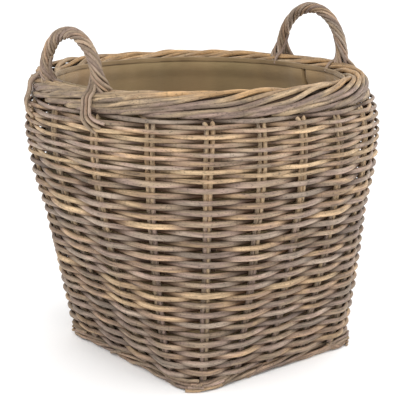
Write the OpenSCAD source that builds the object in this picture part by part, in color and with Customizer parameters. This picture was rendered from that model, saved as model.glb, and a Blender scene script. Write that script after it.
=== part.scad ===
// Wicker log basket: woven rattan cane on paired stakes, a rolled rim, a twisted
// foot border, two upright rope-twisted handles and a sewn cloth lining.
// Z is up, sizes are in mm. The handles stand on the +X and -X sides.

/* [Foot] */
// half width of the basket at the ground
foot_half = 175; // [120:1:230]
// corner radius at the ground
foot_corner = 47; // [20:1:110]
// how far the foot sits off the middle of the shoulder, along X
foot_shift_x = 14; // [-25:1:25]
// how far the foot sits off the middle of the shoulder, along Y
foot_shift_y = -6; // [-25:1:25]
// height of the hoop that the basket stands on
hoop_height = 18; // [12:1:30]
// width of that hoop, from its outer face to its inner face
hoop_width = 4.2; // [3:0.1:8]

/* [Belly] */
// height where the corners have started to round out
low_z = 90; // [60:1:130]
// half width there
low_half = 204; // [150:1:260]
// corner radius there
low_corner = 110; // [60:1:150]
// height of the middle of the wall
mid_z = 225; // [180:1:280]
// half width there
mid_half = 244; // [180:1:300]
// corner radius there
mid_corner = 203; // [120:1:240]

/* [Shoulder and rim] */
// height of the widest part
shoulder_z = 345; // [300:1:400]
// half width there
shoulder_half = 267; // [200:1:330]
// corner radius there
shoulder_corner = 236; // [150:1:265]
// height of the rim's top
rim_top = 455; // [400:1:560]
// half width at the rim's outer face
rim_half = 259; // [190:1:320]
// corner radius at the rim's outer face
rim_corner = 243; // [150:1:255]
// radius of the plain hoop inside the rim
rim_hoop_r = 11.9; // [6:0.1:14]

/* [Cane] */
// number of stake pairs round the wall
pairs = 20; // [12:1:24]
// radius of a stake
stake_r = 3; // [2:0.25:4]
// distance between the two stakes of a pair
pair_gap = 8.5; // [6.5:0.5:14]
// radius of a stake's end where it is rolled into the rim
rim_cane_r = 3.4; // [2.5:0.1:5]
// thickness of the woven wall outside the stakes
weave_t = 8; // [5:0.5:9]
// height where thick weavers give way to thin ones
weave_change_z = 330; // [250:1:370]
// height where the thin weavers end below the rim
weave_top_z = 404; // [380:1:412]

/* [Handles] */
// distance between the feet of the left handle, centre to centre
handle_left_span = 137; // [110:1:190]
// height of the left handle's middle line above the rim
handle_left_height = 67; // [50:1:120]
// distance between the feet of the right handle, centre to centre
handle_right_span = 147; // [110:1:190]
// height of the right handle's middle line above the rim
handle_right_height = 83; // [50:1:120]
// how far outside the rim's middle line the handles stand
handle_out = 6; // [0:0.5:12]
// radius of a handle's core
handle_core_r = 4.6; // [3:0.1:8]
// number of canes twisted round the core
handle_canes = 8; // [5:1:10]
// radius of each of those canes
handle_cane_r = 2.25; // [2:0.05:4]
// turns that the canes make from foot to foot
handle_turns = 2.6; // [1:0.1:6]

/* [Lining] */
// thickness of the cloth
cloth_t = 2; // [1.5:0.25:4]
// height of the folded hem at its top edge
hem_height = 7; // [6:1:40]

/* [Hidden] */
stake_names = [for (i = [1:pairs]) str("stake_pair_", i < 10 ? "0" : "", i)];
$fn = 32;

rim_cane_orbit = rim_hoop_r + rim_cane_r + 0.1;
rim_r = rim_cane_orbit + rim_cane_r;
rim_z = rim_top - rim_r;
wall_stations = [
    [0, foot_half, foot_corner],
    [low_z, low_half, low_corner],
    [mid_z, mid_half, mid_corner],
    [shoulder_z, shoulder_half, shoulder_corner],
    [rim_z, rim_half, rim_corner],
];
last_station = len(wall_stations) - 1;

// the wall's layers, as depths in from its outer face
stake_depth = weave_t + 0.3 + stake_r;
lining_depth = 22;
hoop_depth = 17.6;
hoop_inner = hoop_depth + hoop_width;

// the stakes drift round the wall as they rise
pair_start = -0.0143;
pair_drift = 0.0156;
corner_turn = 0.625;
stake_foot_z = hoop_height + 1;
roll_start_z = rim_z - rim_r - 2;
roll_travel = -0.27;
roll_from = 215;
roll_to = -72;

// the foot's border: canes twisted together round the outside of the hoop
foot_cane_r = 4;
foot_cane_orbit = 4.7;
foot_cane_z = 9;
foot_cane_depth = 8.7;
foot_cane_turns = 4;

base_stick_r = 3.4;
base_stick_count = 7;
base_stick_pitch = 44;
base_stick_z = 8;
base_weave_t = 7;
base_weave_z = base_stick_z + base_stick_r + 0.2;
lining_z = base_weave_z + base_weave_t + 0.4;

cane_sides = 6;
stake_steps = 7;
roll_steps = 11;
ring_steps = 64;
loop_steps = 80;
wrap_steps = 20;
handle_foot_z = 1.5;

// the right handle stands a little off the middle of its side
handle_right_turn = -0.004;

// the canes that tie a handle's foot down over the rim's outside
tail_count = 3;
tail_r = 2.4;
tail_inset = 0.0107;
tail_spread = 0.0036;
tail_travel = 0.021;
tail_from = 56;
tail_to = -16;
tail_rim_steps = 3;
tail_wall_steps = 3;
tail_top_z = 416;
tail_end_z = 391;
tail_end_step = 7;

lining_lean_z = 250;
lean_steps = 6;
lining_top = rim_z + 8;
// the two side panels meet in a seam below the right handle and in one opposite it
seam_turn = -0.007;
seam_gap = 0.0006;
panel_steps = 28;

// ---- the wall's shape ----

function station_gap(i, c) =
    (wall_stations[i + 1][c] - wall_stations[i][c]) / (wall_stations[i + 1][0] - wall_stations[i][0]);

function station_slope(i, c) =
    i == 0 ? station_gap(0, c) :
    i == last_station ? station_gap(i - 1, c) :
    (station_gap(i - 1, c) + station_gap(i, c)) / 2;

function station_below(z) =
    max([for (i = [0:last_station - 1]) if (i == 0 || wall_stations[i][0] <= z) i]);

// half width (c = 1) or corner radius (c = 2) of the wall at height z
function wall_size(z, c) =
    let (
        i = station_below(z),
        gap = wall_stations[i + 1][0] - wall_stations[i][0],
        u = min(1, (z - wall_stations[i][0]) / gap)
    )
    wall_stations[i][c] * (2 * u^3 - 3 * u^2 + 1)
        + station_slope(i, c) * gap * (u^3 - 2 * u^2 + u)
        + wall_stations[i + 1][c] * (3 * u^2 - 2 * u^3)
        + station_slope(i + 1, c) * gap * (u^3 - u^2);

// a point [x, y, angle of its normal] at turn f (0 to 1, from +X towards +Y) on a square
// of half width w with corners of radius r
function ring_point(f, w, r) =
    let (
        quarter = floor(4 * (f - floor(f))),
        flat = w - r,
        bend = PI * r / 2,
        t = (4 * (f - floor(f)) - quarter) * (2 * flat + bend),
        turn = 90 * min(1, max(0, (t - flat) / bend)),
        p = t < flat ? [w, t] :
            t < flat + bend ? [flat + r * cos(turn), flat + r * sin(turn)] :
            [2 * flat + bend - t, w],
        a = 90 * quarter
    )
    [p[0] * cos(a) - p[1] * sin(a), p[0] * sin(a) + p[1] * cos(a), turn + a];

// a point on the wall at turn f and height z, that far in from the outer face
function wall_point(f, z, depth) =
    let (
        p = ring_point(f, wall_size(z, 1), wall_size(z, 2)),
        rise = 1 - z / shoulder_z
    )
    [
        p[0] - depth * cos(p[2]) + foot_shift_x * rise,
        p[1] - depth * sin(p[2]) + foot_shift_y * rise,
        z,
    ];

// a point round the rim's middle line: angle 0 is outward and 90 is up
function rim_point(f, angle, distance) =
    wall_point(f, rim_z, rim_r - distance * cos(angle)) + [0, 0, distance * sin(angle)];

function ring_outline(z, depth) =
    [for (i = [0:ring_steps - 1]) let (p = wall_point(i / ring_steps, z, depth)) [p[0], p[1]]];

// ---- closed skins over rows of sections ----

function unit(v) = v / norm(v);

function radius_at(radius, i) = is_list(radius) ? radius[i] : radius;

// a circle round each point of a path: radius is one number, or a number for each point
function tube_sections(path, radius, up, closed = false) =
    let (n = len(path))
    [
        for (i = [0:n - 1])
            let (
                next = closed ? path[(i + 1) % n] : path[min(i + 1, n - 1)],
                previous = closed ? path[(i + n - 1) % n] : path[max(i - 1, 0)],
                side = unit(cross(unit(next - previous), up)),
                rise = cross(side, unit(next - previous))
            )
            [
                for (k = [0:cane_sides - 1])
                    let (a = 360 * k / cane_sides)
                    path[i] + radius_at(radius, i) * (cos(a) * side + sin(a) * rise)
            ]
    ];

function strip_faces(a, b, c, d) = [[a, b, c], [a, c, d]];

// faces between one section and the next, and over both ends of an open skin
function skin_faces(start, sections, sides, closed) =
    concat(
        [
            for (i = [0:sections - (closed ? 1 : 2)])
                for (k = [0:sides - 1])
                    let (
                        here = start + i * sides,
                        there = start + ((i + 1) % sections) * sides,
                        m = (k + 1) % sides
                    )
                    each strip_faces(here + k, there + k, there + m, here + m)
        ],
        closed ? [] : [
            for (k = [0:sides / 2 - 2])
                each strip_faces(start + k, start + k + 1, start + sides - 2 - k, start + sides - 1 - k)
        ],
        closed ? [] : [
            for (k = [0:sides / 2 - 2])
                let (end = start + (sections - 1) * sides)
                each strip_faces(end + sides - 1 - k, end + sides - 2 - k, end + k + 1, end + k)
        ]
    );

// one solid for each row of sections
module skins(rows, closed = false) {
    sections = len(rows[0]);
    sides = len(rows[0][0]);
    polyhedron(
        points = [for (row = rows) for (section = row) each section],
        faces = [
            for (i = [0:len(rows) - 1])
                each skin_faces(i * sections * sides, sections, sides, closed)
        ],
        convexity = 8
    );
}

module canes(paths, radius, up, closed = false) {
    skins([for (path = paths) tube_sections(path, radius, up, closed)], closed);
}

// the cut across a wall layer at turn f: up its outer face and back down its inner face
function layer_section(f, heights, outer, inner) =
    let (n = len(heights) - 1)
    concat(
        [for (i = [0:n]) wall_point(f, heights[i], outer)],
        [for (i = [0:n]) wall_point(f, heights[n - i], inner)]
    );

function even_heights(low, high, steps) = [for (i = [0:steps]) low + (high - low) * i / steps];

module wall_band(low, high, steps, outer, inner) {
    heights = even_heights(low, high, steps);
    skins(
        [[for (i = [0:ring_steps - 1]) layer_section(i / ring_steps, heights, outer, inner)]],
        closed = true
    );
}

// ---- foot and base ----

module foot_hoop() {
    color([0.45, 0.38, 0.3])
        linear_extrude(hoop_height)
            difference() {
                polygon(ring_outline(0, hoop_depth));
                polygon(ring_outline(0, hoop_inner));
            }
}

function foot_cane_path(index) =
    [
        for (i = [0:loop_steps - 1])
            let (a = 360 * (foot_cane_turns * i / loop_steps + index / 3))
            wall_point(i / loop_steps, 0, foot_cane_depth - foot_cane_orbit * cos(a))
                + [0, 0, foot_cane_z + foot_cane_orbit * sin(a)]
    ];

module foot_cane(index) {
    color([0.5, 0.42, 0.33])
        canes([foot_cane_path(index)], foot_cane_r, [0, 0, 1], closed = true);
}

module base_sticks() {
    length = 2 * (wall_size(0, 1) - hoop_inner) - 1;
    first = -(base_stick_count - 1) / 2;
    color([0.55, 0.46, 0.36])
        for (i = [0:base_stick_count - 1])
            translate([foot_shift_x, foot_shift_y + (first + i) * base_stick_pitch, base_stick_z])
                rotate([0, 90, 0])
                    cylinder(h = length, r = base_stick_r, center = true);
}

module base_weave() {
    color([0.52, 0.44, 0.35])
        translate([0, 0, base_weave_z])
            linear_extrude(base_weave_t)
                polygon(ring_outline(0, hoop_inner + 0.5));
}

// ---- stakes ----

function pair_turn(index, z) =
    let (turn = index / pairs)
    turn + pair_start + pair_drift * cos(720 * (turn - corner_turn)) * z / rim_top;

// one stake: up the wall, then rolled over the rim's hoop and down its outside, running
// back along the rim; the first stake of a pair runs half a pair's distance further back
function stake_path(index, side) =
    let (
        shift = side * pair_gap / 2 / (8 * wall_size(rim_z, 1)),
        roll_turn = pair_turn(index, rim_z) + shift - (side < 0 ? 0.5 / pairs : 0)
    )
    concat(
        [
            for (z = even_heights(stake_foot_z, roll_start_z, stake_steps))
                wall_point(pair_turn(index, z) + shift, z, stake_depth)
        ],
        [
            for (i = [0:roll_steps])
                let (u = i / roll_steps)
                rim_point(
                    roll_turn + roll_travel * u,
                    roll_from + (roll_to - roll_from) * u,
                    rim_cane_orbit
                )
        ]
    );

stake_radii = concat(
    [for (i = [0:stake_steps]) stake_r],
    [for (i = [0:roll_steps]) rim_cane_r]
);

module stake_pair(index) {
    color([0.6, 0.52, 0.42])
        canes([stake_path(index, -1), stake_path(index, 1)], stake_radii, [0, 0, 1]);
}

// ---- woven wall ----

module lower_weave() {
    color([0.52, 0.45, 0.38])
        wall_band(hoop_height + 0.5, weave_change_z, 6, 0, weave_t);
}

module upper_weave() {
    color([0.6, 0.5, 0.38])
        wall_band(weave_change_z + 0.3, weave_top_z, 3, 0, weave_t);
}

module waling_band() {
    color([0.5, 0.43, 0.38])
        wall_band(weave_top_z + 0.3, rim_z - rim_r - 0.5, 1, -1, weave_t);
}

module rim_hoop() {
    path = [for (i = [0:ring_steps - 1]) rim_point(i / ring_steps, 0, 0)];
    color([0.55, 0.47, 0.38])
        canes([path], rim_hoop_r, [0, 0, 1], closed = true);
}

// ---- handles ----
// side is 1 for the handle on +X and -1 for the one on -X; its two feet are -1 and 1

function handle_span(side) = side > 0 ? handle_right_span : handle_left_span;

function handle_height(side) = side > 0 ? handle_right_height : handle_left_height;

// the turn round the rim where a handle's middle stands
function handle_turn(side) = side > 0 ? handle_right_turn : 0.5;

// the turn round the rim where a handle's foot stands
function foot_turn(side, foot) =
    let (
        flat = rim_half - rim_corner,
        turn = asin((handle_span(side) / 2 - flat) / (rim_corner - rim_r)),
        share = (flat + rim_corner * turn * PI / 180) / (8 * flat + 2 * PI * rim_corner)
    )
    handle_turn(side) + side * foot * share;

// the point midway between a handle's feet, at the height of the rim's top
function handle_middle(side) =
    (rim_point(foot_turn(side, -1), 90, rim_r) + rim_point(foot_turn(side, 1), 90, rim_r)) / 2
        + [side * handle_out, 0, 0];

// a point off a handle's middle line at u (0 to 1 from foot to foot along half an ellipse)
function handle_point(side, u, distance, angle) =
    let (
        a = 180 - 180 * u,
        half = handle_span(side) / 2,
        height = handle_height(side),
        out = unit([height * cos(a), half * sin(a)])
    )
    handle_middle(side) + [
        distance * sin(angle),
        half * cos(a) + distance * cos(angle) * out[0],
        handle_foot_z + (height - handle_foot_z) * sin(a) + distance * cos(angle) * out[1],
    ];

module handle_core(side) {
    path = [for (i = [0:wrap_steps]) handle_point(side, i / wrap_steps, 0, 0)];
    color([0.45, 0.38, 0.32])
        canes([path], handle_core_r, [1, 0, 0]);
}

function handle_cane_path(side, index) =
    [
        for (i = [0:wrap_steps])
            let (u = i / wrap_steps)
            handle_point(
                side,
                u,
                handle_core_r + handle_cane_r + 0.1,
                360 * (index / handle_canes - handle_turns * u)
            )
    ];

module handle_wrap(side) {
    color([0.56, 0.48, 0.42])
        canes(
            [for (i = [0:handle_canes - 1]) handle_cane_path(side, i)],
            handle_cane_r,
            [1, 0, 0]
        );
}

// a tail starts beside the handle's foot, bends over the rim and curves away down the wall
function tail_path(side, foot, index) =
    let (
        away = side * foot,
        start = foot_turn(side, foot) + away * (index * tail_spread - tail_inset),
        low_z = tail_end_z + index * tail_end_step
    )
    concat(
        [
            for (i = [0:tail_rim_steps])
                rim_point(
                    start,
                    tail_from + (tail_to - tail_from) * i / tail_rim_steps,
                    rim_r + tail_r + 0.2
                )
        ],
        [
            for (i = [0:tail_wall_steps])
                let (u = i / tail_wall_steps)
                wall_point(
                    start + away * tail_travel * u,
                    tail_top_z + (low_z - tail_top_z) * sin(90 * u),
                    -tail_r - 1.2
                )
        ]
    );

module handle_tails(side) {
    color([0.52, 0.45, 0.4])
        canes(
            [for (foot = [-1, 1]) for (i = [0:tail_count - 1]) tail_path(side, foot, i)],
            tail_r,
            [0, 1, 0]
        );
}

// ---- lining ----

// the cloth follows the wall, then leans in to hang from the inside of the rim
function cloth_depth(z) =
    let (u = min(1, max(0, (z - lining_lean_z) / (rim_z - rim_r - lining_lean_z))))
    lining_depth + (2 * rim_r + 0.8 - lining_depth) * (3 * u^2 - 2 * u^3);

// the cut across the cloth at turn f, that far inside its outer face
function cloth_section(f, heights, inside) =
    let (n = len(heights) - 1)
    concat(
        [for (z = heights) wall_point(f, z, cloth_depth(z) + inside)],
        [for (i = [0:n]) wall_point(f, heights[n - i], cloth_depth(heights[n - i]) + inside + cloth_t)]
    );

// one of the two side panels: half a turn of cloth from the given turn on
module lining_panel(start) {
    first = start + seam_gap;
    length = 0.5 - 2 * seam_gap;
    lean_step = (lining_top - lining_lean_z) / lean_steps;
    heights = concat(
        even_heights(lining_z + cloth_t + 0.2, lining_lean_z, 4),
        even_heights(lining_lean_z + lean_step, lining_top, lean_steps - 1)
    );
    color([0.42, 0.37, 0.27])
        skins([[
            for (i = [0:panel_steps])
                cloth_section(first + length * i / panel_steps, heights, 0)
        ]]);
}

module lining_base() {
    color([0.4, 0.35, 0.26])
        translate([0, 0, lining_z])
            linear_extrude(cloth_t)
                polygon(ring_outline(lining_z, lining_depth));
}

module lining_hem() {
    heights = even_heights(lining_top - hem_height, lining_top, 1);
    color([0.46, 0.41, 0.3])
        skins(
            [[for (i = [0:ring_steps - 1]) cloth_section(i / ring_steps, heights, cloth_t + 0.4)]],
            closed = true
        );
}

// ---- the nodes ----

foot_hoop();
for (i = [1:3])
    foot_cane(i - 1);
base_sticks();
base_weave();
for (i = [1:pairs])
    stake_pair(i - 1);
lower_weave();
upper_weave();
waling_band();
rim_hoop();
handle_core(-1);  // handle_left_core
handle_wrap(-1);  // handle_left_canes
handle_tails(-1);  // handle_left_tails
handle_core(1);  // handle_right_core
handle_wrap(1);  // handle_right_canes
handle_tails(1);  // handle_right_tails
lining_base();
lining_panel(seam_turn);  // lining_back
lining_panel(seam_turn + 0.5);  // lining_front
lining_hem();
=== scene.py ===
"""A wicker log basket: cane woven over paired stakes, a rolled rim, two rope handles and a lining."""

import math

import bpy
import numpy as np
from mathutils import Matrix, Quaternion, Vector


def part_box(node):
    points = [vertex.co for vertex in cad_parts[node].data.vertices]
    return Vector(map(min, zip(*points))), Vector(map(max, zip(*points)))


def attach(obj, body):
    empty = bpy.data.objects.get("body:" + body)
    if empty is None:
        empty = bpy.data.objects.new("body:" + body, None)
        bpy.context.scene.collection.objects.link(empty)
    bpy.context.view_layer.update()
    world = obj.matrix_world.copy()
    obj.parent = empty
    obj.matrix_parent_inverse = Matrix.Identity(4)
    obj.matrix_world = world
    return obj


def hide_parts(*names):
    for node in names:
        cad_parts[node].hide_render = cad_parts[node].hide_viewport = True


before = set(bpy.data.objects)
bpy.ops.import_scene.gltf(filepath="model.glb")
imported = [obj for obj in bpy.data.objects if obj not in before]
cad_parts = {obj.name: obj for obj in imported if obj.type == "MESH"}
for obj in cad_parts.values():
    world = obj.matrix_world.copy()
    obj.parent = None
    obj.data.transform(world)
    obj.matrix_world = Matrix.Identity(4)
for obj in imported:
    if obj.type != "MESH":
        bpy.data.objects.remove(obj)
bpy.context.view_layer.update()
rng = np.random.default_rng(20)


# ---- sizes: metres, and turns of the basket for what runs round it ----

def heights(node):
    """The lowest and highest z of a CAD node."""
    low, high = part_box(node)
    return low[2], high[2]


# rows of height, half width and corner radius
WALL = np.array([
    [0.0, 0.175, 0.047],
    [0.090, 0.204, 0.110],
    [0.225, 0.244, 0.203],
    [0.345, 0.267, 0.236],
    [0.4362, 0.259, 0.243],
])
SHOULDER_Z = WALL[3, 0]
RIM_HALF = WALL[4, 1]
RIM_CORNER = WALL[4, 2]
RIM_SQUARE = 8 * RIM_HALF  # the girth of a square as wide as the rim
FOOT_SHIFT = np.array([0.014, -0.006])
RIM_R = 0.0188
RIM_Z = sum(heights("rim_hoop")) / 2
RIM_TOP = RIM_Z + RIM_R

# the weave stands a little proud of the wall below the rim
PROUD = 0.0035
PROUD_FROM_Z = 0.335
PROUD_GROWS = 0.05
PROUD_TO_Z = 0.422
PROUD_FADES = 0.012

# the stakes stand in pairs, which drift round towards the corners and widen near the shoulder
PAIRS = 20
PAIR_GAP = 0.0085
PAIR_START = -0.0143
PAIR_DRIFT = 0.0156
DRIFT_CORNER = 0.625
PAIR_WIDENS = 0.22
PAIR_WIDENS_Z = 0.30
PAIR_WIDENS_OVER = 0.06
STAKE_R = 0.0034
STAKE_DEPTH = 0.0113
STAKE_STEPS = 64
LIGHTER_FROM_Z = 0.16
LIGHTER_OVER = 0.18
SUNNY_OVER = 0.014

# the stakes' ends roll over the rim's rods, loosest round LOOSE_TURN, and in again below it
THIN_END_R = (0.0029, 0.0036)
THICK_END_R = (0.0038, 0.0045)
ROLL_SCATTER = 0.003
ROLL_TRAVEL = -0.22
ROLL_FROM = math.radians(230)
ROLL_TO = math.radians(-35)
ROLL_STEPS = 84
ROLL_START_Z = RIM_Z - RIM_R + 0.004
ROLL_SQUEEZED = 0.0015
ROLL_END_TRAVEL = -0.06
ROLL_END_Z = 0.4195
ROLL_END_STEPS = 27
ROLL_TUCK = 0.008
ROLL_OFF_WALL = 0.001
ROLL_SOFTENINGS = 4
ROLL_BLEND_STEPS = 10
LOOSE_TURN = 0.37
LOOSE_SPREAD = 0.06
LOOSENESS = 1.2

# the rim's top is lowest round DIP_TURN, by DIP of its height above its middle line
DIP_TURN = 0.505
DIP_SPREAD = 0.090
DIP = 0.6

# rods twisted together inside the rim
RODS = 3
ROD_R = 0.0040
ROD_ORBIT = 0.0062
ROD_TURNS = 7

# the foot's hoop, and the canes twisted round its outside
HOOP_DEPTH = 0.0176
HOOP_LAYERS = 4
FOOT_CANES = 3
FOOT_CANE_R = 0.0040
FOOT_CANE_ORBIT = 0.0047
FOOT_CANE_DEPTH = 0.0087
FOOT_CANE_Z = 0.009
FOOT_CANE_TURNS = 4
FOOT_FACE_DEPTH = FOOT_CANE_DEPTH - FOOT_CANE_ORBIT - 0.001

# cut stubs along the foot, and canes that cross and end at its corners
STUB_R = (0.0022, 0.0028)
STUB_TURNS = (0.06, 0.19, 0.33, 0.47, 0.575, 0.66, 0.70, 0.83, 0.94)
STUB_LENGTH = 0.022
STUB_STEPS = 12
STUB_LOW_Z = 0.004
STUB_FALLS_TO_Z = 0.005
STUB_HIGH_Z = 0.015
CORNER_LAYERS = 3
CORNER_LAYER = 0.0055
CORNER_RUN = 0.045
CORNER_PAST = 0.010
CORNER_STAGGER = 0.003
CORNER_PROUD = 0.006
CORNER_SLOPE = 0.004
CORNER_LOW_Z = {-1: 0.006, 1: 0.004}
CORNER_CLEAR_Z = 0.0030

# the mat of thin cane over the base's sticks
STICKS = 7
MAT_CANE_R = 0.0017
MAT_PITCH = 0.0037
MAT_STEP = 0.021
MAT_CORNER = 0.030
MAT_CORNER_CUT = 0.8

# tie_from is how far round from each foot a handle's ties start
HANDLES = {
    "left": {
        "side": -1,
        "turn": 0.5,
        "span": 0.137,
        "height": 0.067,
        "tie_from": {-1: -0.0095, 1: 0.019},
    },
    "right": {
        "side": 1,
        "turn": -0.004,
        "span": 0.147,
        "height": 0.083,
        "tie_from": {-1: 0.004, 1: -0.0115},
    },
}
HANDLE_OUT = 0.006
HANDLE_FOOT_Z = 0.0015
HANDLE_CORE_R = 0.0041
HANDLE_CANE_R = 0.0026
HANDLE_LEAN = 0.009
HANDLE_LEAN_FROM = 0.44
HANDLE_LEAN_OVER = 0.12
HANDLE_FLARE = (0.003, 0.008)
HANDLE_FLARE_FROM = 0.41
HANDLE_FLARE_OVER = 0.14
HANDLE_CANES = 8
HANDLE_TURNS = 2.6
HANDLE_BELOW = 0.09
HANDLE_STEPS = 130

# each foot is tied down by canes over the outside of the rim and one over its inside
TIES = 3
TIE_R = 0.0025
TIE_STEP = 0.0043
TIE_FAN = 0.4
TIE_LEG_U = (0.10, 0.06)
TIE_OVER_DEGREES = (66, -20)
TIE_CLEAR = 0.0034
TIE_TRAVEL = 0.015
TIE_OFF_WALL = 0.0036
TIE_TUCK = 0.0075
TIE_FROM_Z = 0.418
TIE_END_Z = 0.391
TIE_END_STEP = 0.007
INNER_TIE_R = 0.0024
INNER_TIE_BACK = 0.004
INNER_TIE_LEG_U = (0.16, 0.11, 0.07)
INNER_TIE_OFF = 2.2
INNER_TIE_OVER_DEGREES = (95, 172)
INNER_TIE_CLEAR = 0.0024

# the cloth hangs down the wall's inside, and leans in above LINING_LEAN_Z to the inside of the rim
LINING_DEPTH = 0.022
LINING_LEAN_Z = 0.250
LINING_TOP_DEPTH = 2 * RIM_R + 0.0008
CLOTH_THICKNESS = 0.0012
CLOTH_SLACK = 0.003
SLACK_OVER = 0.01
FOLD_DEPTH = 0.0012
DRAPE_DEPTH = 0.0006
DRAPE_OVER = 0.13

# the panels' edges turn in towards the wall at the seams, which open above SEAM_OPENS_Z
SEAM_TURN = -0.007
SEAM_GAP = 0.0002
SEAM_FOLD = 0.0021
SEAM_SUNK = 0.0065
SEAM_FLAT = 0.004
SEAM_OPENS_Z = 0.340
SEAM_OPENS_OVER = 0.03

# the hem's folds stand in from the cloth by these, from its lower edge up, and over its top edge
HEM_RISE = (0, 0.25, 0.5, 0.75, 0.92)
HEM_INSIDE = (0.0011, 0.0018, 0.0021, 0.0022, 0.0022)
HEM_CREST_IN = 0.0014
HEM_CREST_UP = 0.0008
HEM_OUTSIDE = 0.0006

# the waves in the lining's base
BASE_RIPPLE = 0.0005


# ---- the wall's shape ----

def wall_size(z):
    """Half width and corner radius of the wall at heights z, smooth through the rows of WALL."""
    z = np.asarray(z, float)
    gaps = np.diff(WALL[:, 0])
    slopes = np.diff(WALL[:, 1:], axis=0) / gaps[:, None]
    slopes = np.vstack([slopes[:1], (slopes[1:] + slopes[:-1]) / 2, slopes[-1:]])
    i = np.clip(np.searchsorted(WALL[:, 0], z, side="right") - 1, 0, len(gaps) - 1)
    u = np.minimum(1, (z - WALL[i, 0]) / gaps[i])[..., None]
    gap = gaps[i][..., None]
    size = (
        WALL[i, 1:] * (2 * u**3 - 3 * u**2 + 1)
        + slopes[i] * gap * (u**3 - 2 * u**2 + u)
        + WALL[i + 1, 1:] * (3 * u**2 - 2 * u**3)
        + slopes[i + 1] * gap * (u**3 - u**2)
    )
    return size[..., 0], size[..., 1]


def wall_place(turn, z):
    """Points on the wall's outer face and its outward directions, at turns from +X towards +Y."""
    turn, z = np.broadcast_arrays(np.asarray(turn, float), np.asarray(z, float))
    half, corner = wall_size(z)
    grown = smooth_step((z - PROUD_FROM_Z) / PROUD_GROWS)
    faded = smooth_step((PROUD_TO_Z - z) / PROUD_FADES)
    half = half + PROUD * grown * faded
    quarter = np.floor(4 * (turn - np.floor(turn)))
    flat = half - corner
    bend = math.pi * corner / 2
    along = (4 * (turn - np.floor(turn)) - quarter) * (2 * flat + bend)
    angle = np.clip((along - flat) / bend, 0, 1) * math.pi / 2
    on_first = along < flat
    on_bend = along < flat + bend
    beyond_x = np.where(on_bend, flat + corner * np.cos(angle), 2 * flat + bend - along)
    beyond_y = np.where(on_bend, flat + corner * np.sin(angle), half)
    x = np.where(on_first, half, beyond_x)
    y = np.where(on_first, along, beyond_y)
    a = quarter * math.pi / 2
    rise = 1 - z / SHOULDER_Z
    place = np.stack(
        [
            x * np.cos(a) - y * np.sin(a) + FOOT_SHIFT[0] * rise,
            x * np.sin(a) + y * np.cos(a) + FOOT_SHIFT[1] * rise,
            z,
        ],
        axis=-1,
    )
    out = np.stack([np.cos(angle + a), np.sin(angle + a), np.zeros_like(a)], axis=-1)
    return place, out


def wall_point(turn, z, depth):
    """Points that far in from the wall's outer face."""
    place, out = wall_place(turn, z)
    return place - np.asarray(depth, float)[..., None] * out


def hump(turn, middle, spread):
    """1 at a turn round the basket, falling smoothly to 0 either side of it."""
    away = np.abs((turn - middle + 0.5) % 1 - 0.5)
    return np.exp(-((away / spread) ** 2))


def rim_point(turn, angle, distance, dip=DIP):
    """Points round the rim's middle line, lower in its dip: angle 0 is out, a quarter turn up."""
    turn, angle, distance = np.broadcast_arrays(turn, angle, distance)
    point = wall_point(turn, np.full(turn.shape, RIM_Z), RIM_R - distance * np.cos(angle))
    rise = distance * np.sin(angle)
    rise = np.where(rise > 0, rise * (1 - dip * hump(turn, DIP_TURN, DIP_SPREAD)), rise)
    return point + rise[..., None] * np.array([0, 0, 1])


def pair_turns(z):
    """The turns of the stake pairs at height z, from two pairs before the first to two laps on."""
    index = np.arange(-2, 2 * PAIRS + 3)
    turn = index / PAIRS
    drift = PAIR_DRIFT * np.cos(4 * math.pi * (turn - DRIFT_CORNER))
    return index, turn + PAIR_START + drift * z / RIM_TOP


def smooth_step(u):
    """From 0 to 1 as u goes from 0 to 1, level at both ends."""
    u = np.clip(u, 0, 1)
    return u * u * (3 - 2 * u)


def wander(along, period, amount):
    """Smooth random offsets along a cane."""
    total = np.zeros_like(along)
    for octave in (1.0, 1.7, 2.9):
        total += np.sin(2 * math.pi * (along * octave / period + rng.random())) / octave
    return amount * total / 1.5


def soften(path, passes):
    """Rounds a path's bends, keeping its two ends."""
    for _ in range(passes):
        path[1:-1] = (path[:-2] + 2 * path[1:-1] + path[2:]) / 4
    return path


# ---- swept canes ----

GRAIN_STARTS_WITHIN = 40
END_INSET = 0.86
END_BULGE = 0.12
ANY_DIRECTION = (0.31, 0.87, 0.38)


def frames(path, out):
    """Unit directions along a path, out of it and across it."""
    along = np.gradient(path, axis=0)
    along /= np.linalg.norm(along, axis=1)[:, None]
    out = out - (out * along).sum(axis=1)[:, None] * along
    out /= np.linalg.norm(out, axis=1)[:, None]
    return along, out, np.cross(along, out)


def carried_out(path):
    """Out directions carried along a path without twisting."""
    along = np.gradient(path, axis=0)
    along /= np.linalg.norm(along, axis=1)[:, None]
    start = np.cross(along[0], ANY_DIRECTION)
    out = [start / np.linalg.norm(start)]
    for direction in along[1:]:
        carried = out[-1] - (out[-1] @ direction) * direction
        out.append(carried / np.linalg.norm(carried))
    return np.array(out)


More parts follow.
